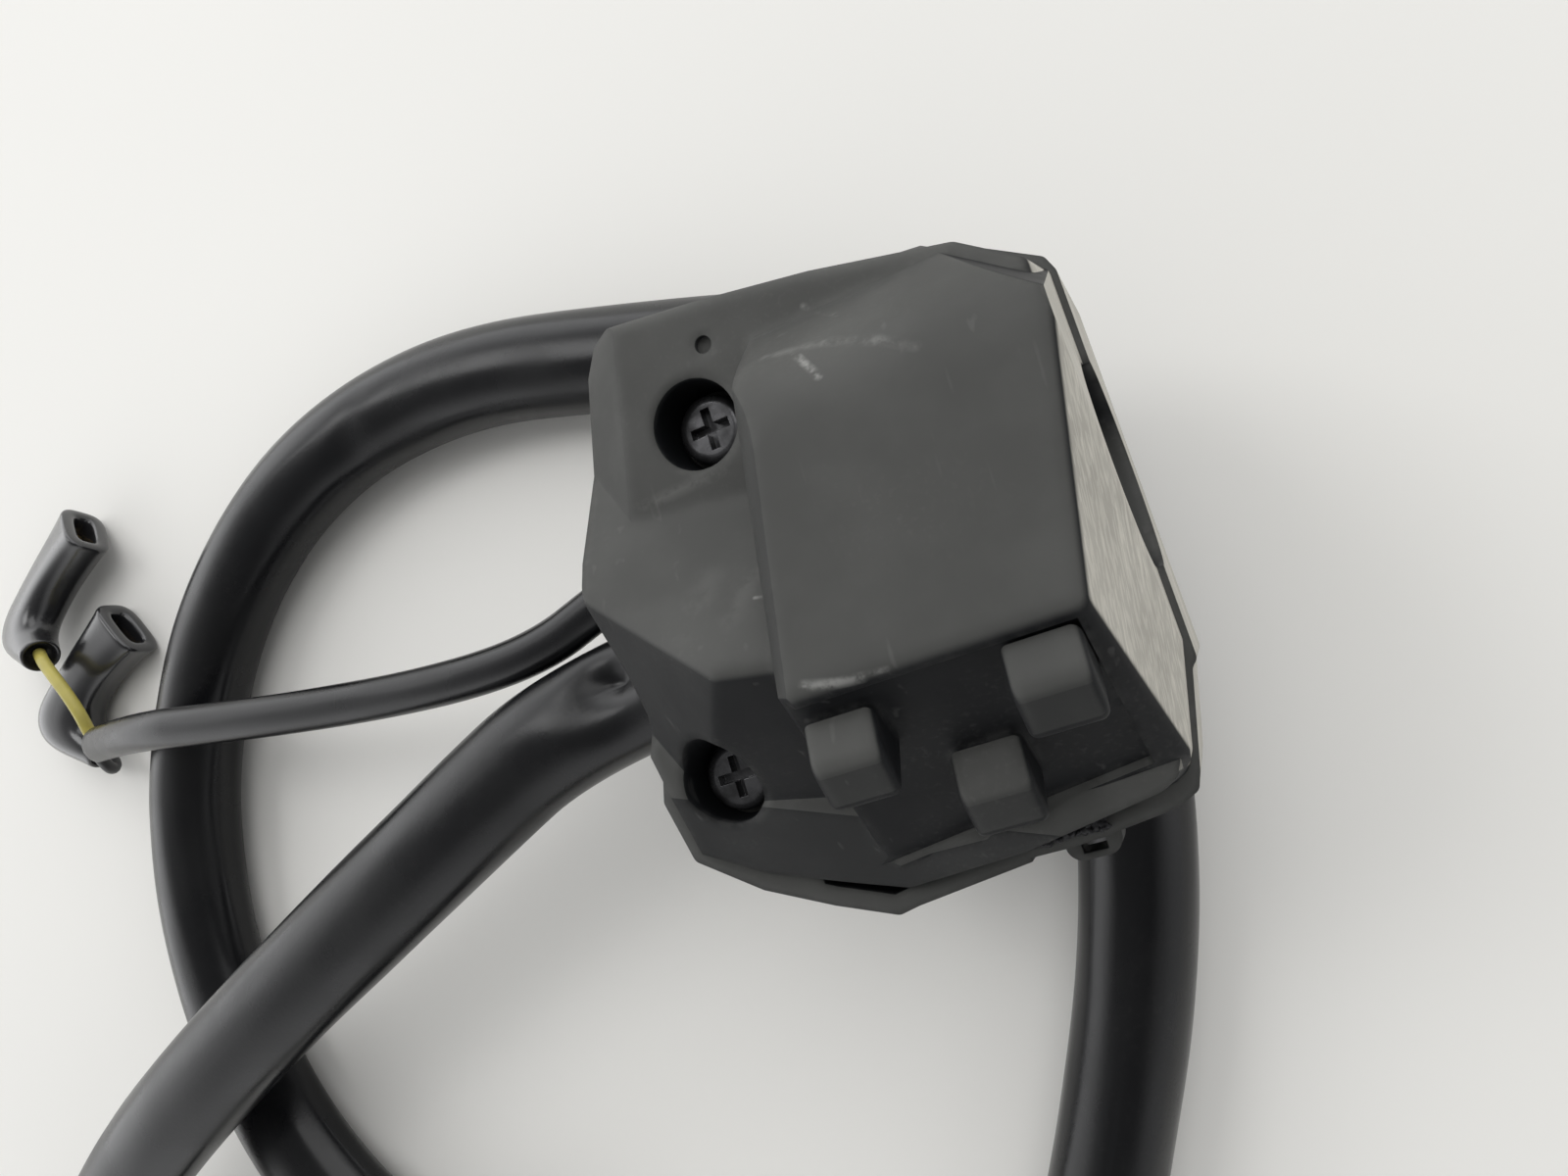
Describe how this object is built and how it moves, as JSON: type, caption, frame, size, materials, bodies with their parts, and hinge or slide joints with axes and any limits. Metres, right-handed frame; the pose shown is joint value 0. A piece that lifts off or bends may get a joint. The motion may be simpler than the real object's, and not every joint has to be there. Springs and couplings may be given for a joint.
{
  "type": "handlebar switch cluster",
  "caption": "Motorcycle left handlebar switch housing seen from its forward side: two bolted casing halves with three switches, a sleeved loom and a clutch switch lead.",
  "frame": {"origin": "on the handlebar's axis, midway along the casing", "axes": "+X along the handlebar towards the grip, +Y up on the bike, +Z forward, away from the rider; the casing splits at z = 0 and the loom rests on a surface at z = -0.05"},
  "size_m": [0.2531, 0.2634, 0.0756],
  "materials": {
    "casing_plastic": "moulded charcoal, lightly scuffed",
    "control_plastic": "smooth black",
    "board_plastic": "brown board",
    "contact_brass": "bright",
    "zinc_steel": "dulled zinc",
    "bare_steel": "plain",
    "soft_sleeve": "satin soft vinyl",
    "boot_vinyl": "glossy soft vinyl",
    "white_nylon": "plain",
    "yellow_wire": "satin insulation",
    "black_wire": "satin insulation"
  },
  "bodies": {
    "base": {"front_casing": "casing_plastic", "rear_casing": "casing_plastic", "casing_screws": "zinc_steel", "beam_rocker_pin": "bare_steel", "beam_switch_base": "board_plastic", "beam_contact_prongs": "contact_brass", "turn_switch_base": "board_plastic", "horn_switch_base": "board_plastic", "switch_base_screws": "zinc_steel", "loom_strap": "zinc_steel", "loom_strap_screw": "zinc_steel", "inner_wires": "black_wire", "loom_sleeve": "soft_sleeve", "loom_end_tape": "soft_sleeve", "loom_wires": "black_wire", "loom_connector": "white_nylon", "connector_terminals": "contact_brass", "clutch_lead_sleeve": "soft_sleeve", "clutch_wire_yellow": "yellow_wire", "clutch_wire_black": "black_wire", "terminal_boot_a": "boot_vinyl", "terminal_boot_b": "boot_vinyl", "spade_terminals": "contact_brass", "horn_spring": "bare_steel"},
    "rocker": {"beam_rocker": "control_plastic"},
    "carriage": {"turn_carriage": "control_plastic", "turn_contact_bridges": "contact_brass", "turn_cancel_spring": "bare_steel"},
    "knob": {"turn_knob": "control_plastic", "turn_stem_clip": "bare_steel"},
    "button": {"horn_button": "control_plastic", "horn_contact_disc": "contact_brass"}
  },
  "joints": [
    {"name": "beam_rock", "type": "hinge", "parent": "base", "child": "rocker", "pos_m": [0.0069, 0.02002, -0.0242], "axis": [1, 0, 0], "range_deg": [0, 16]},
    {"name": "turn_slide", "type": "slide", "parent": "base", "child": "carriage", "axis": [1, 0, 0], "range_m": [-0.0035, 0.0035]},
    {"name": "turn_push", "type": "slide", "parent": "carriage", "child": "knob", "axis": [0, 0, 1], "range_m": [0, 0.0015], "stiffness_N_per_m": 1500, "deforming": ["turn_cancel_spring"]},
    {"name": "horn_press", "type": "slide", "parent": "base", "child": "button", "axis": [0, 0, 1], "range_m": [0, 0.002], "stiffness_N_per_m": 2000, "deforming": ["horn_spring"]}
  ]
}
